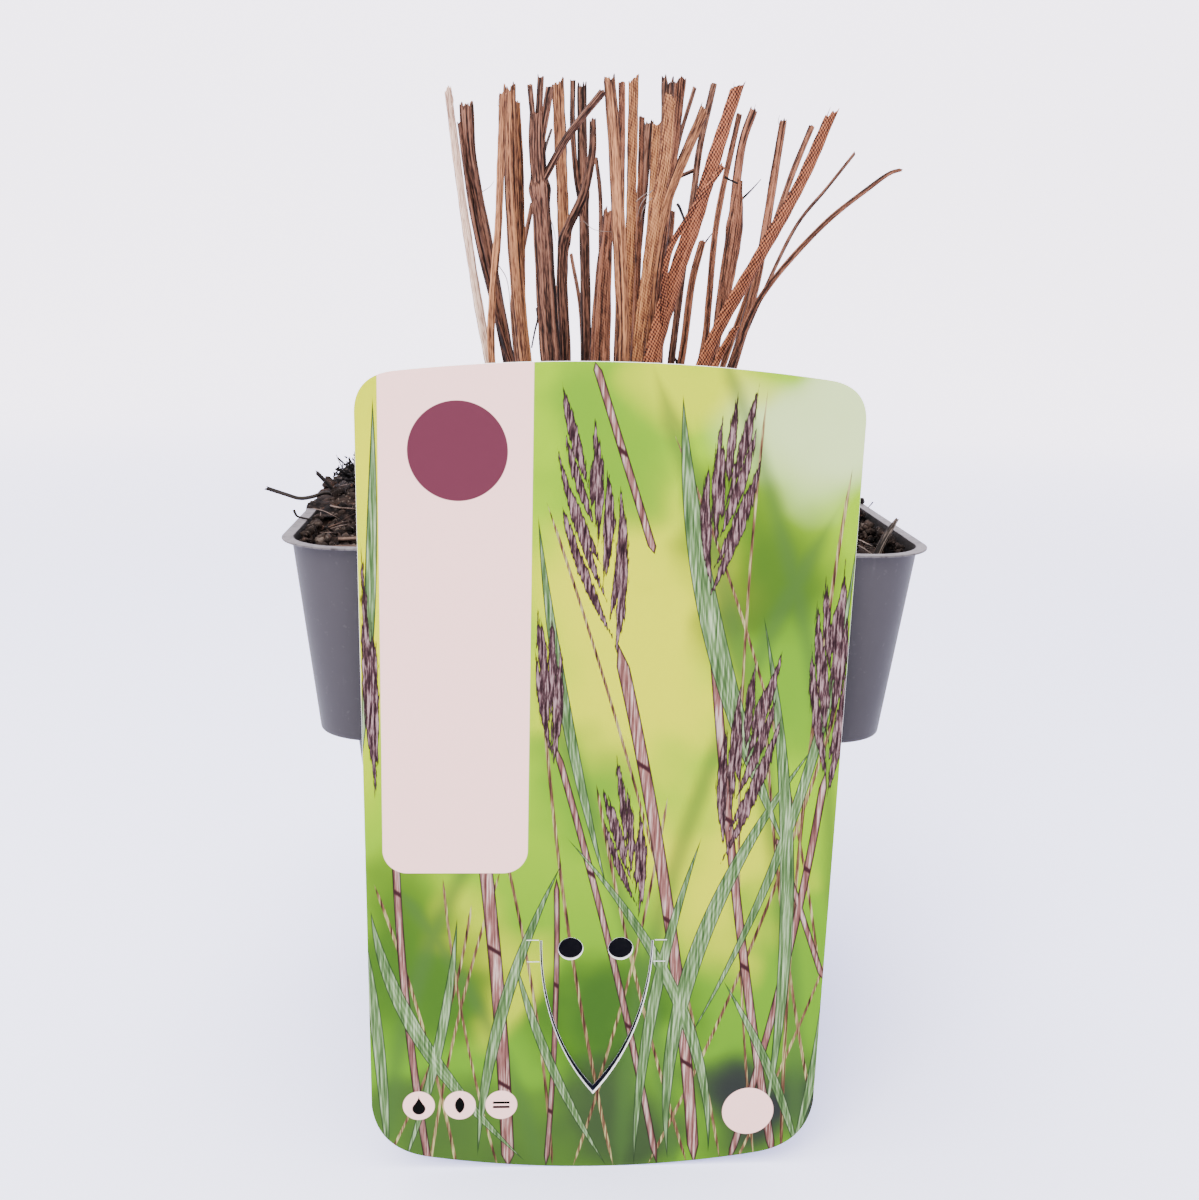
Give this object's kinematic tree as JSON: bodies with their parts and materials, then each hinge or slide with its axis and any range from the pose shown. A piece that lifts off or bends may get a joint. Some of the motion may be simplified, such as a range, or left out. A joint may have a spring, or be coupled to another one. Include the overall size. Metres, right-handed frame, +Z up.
{
  "type": "potted big bluestem",
  "caption": "Clump of cut, dry big bluestem stems in a square nursery pot of soil, with a plain label card leaning on the rim.",
  "frame": {"origin": "centre of the pot's flat base, on the surface it stands on", "axes": "+Z up along the pot's middle, -Y towards the front where the label card stands, +X to the right seen from the front"},
  "size_m": [0.0993, 0.0925, 0.1599],
  "materials": {
    "pot_plastic": "moulded grey plastic, satin, paler on the edge of the lip",
    "soil": "damp dark peat with pale fibres",
    "label_card": "printed card with a soft green print and a pale panel",
    "dead_root": "dry black root",
    "stem_cream": "bleached dry leaf",
    "stem_peach": "pale dry leaf with fine ribs",
    "stem_tan": "tan dry stem with fine ribs",
    "stem_orange": "orange-brown dry leaf with clear ribs",
    "stem_brown": "brown dry sheath",
    "stem_dark": "dark brown dry stem, fluted"
  },
  "bodies": {
    "root": {"pot": "pot_plastic", "soil": "soil", "label": "label_card", "root_tuft": "dead_root", "root_fibre": "dead_root", "twig_left": "dead_root", "bark_chip": "stem_brown", "leaf_scrap": "stem_orange", "straw_long": "stem_tan", "straw_short": "stem_cream", "blade_pale_left": "stem_cream", "culm_dark_left": "stem_dark", "blade_tan_left": "stem_tan", "culm_tan_left": "stem_tan", "stalk_slanting": "stem_dark", "culm_fluted": "stem_dark", "culm_with_joint": "stem_dark", "blade_tan_middle": "stem_tan", "culm_dark_middle": "stem_dark", "stalk_thin_middle": "stem_dark", "stalk_spike": "stem_dark", "culm_brown_low": "stem_brown", "culm_tan_middle": "stem_tan", "stalk_brown_middle": "stem_brown", "blade_pale_middle": "stem_peach", "stalk_brown_back": "stem_brown", "culm_dark_back": "stem_dark", "blade_pale_back": "stem_peach", "blade_peach": "stem_peach", "culm_dark_top": "stem_dark", "blade_brown_patterned": "stem_brown", "stalk_dark_back": "stem_dark", "blade_flat_pale": "stem_tan", "stalk_dark_right": "stem_dark", "blade_broad_orange": "stem_orange", "culm_sheathed": "stem_brown", "stalk_brown_right": "stem_brown", "stalk_low_back": "stem_brown", "culm_right": "stem_brown", "stalk_thin_right": "stem_brown", "blade_broad_right": "stem_orange", "stalk_wiry": "stem_dark", "stalk_hooked": "stem_brown", "blade_low_front": "stem_orange", "stalk_short_back": "stem_brown"}
  },
  "joints": []
}
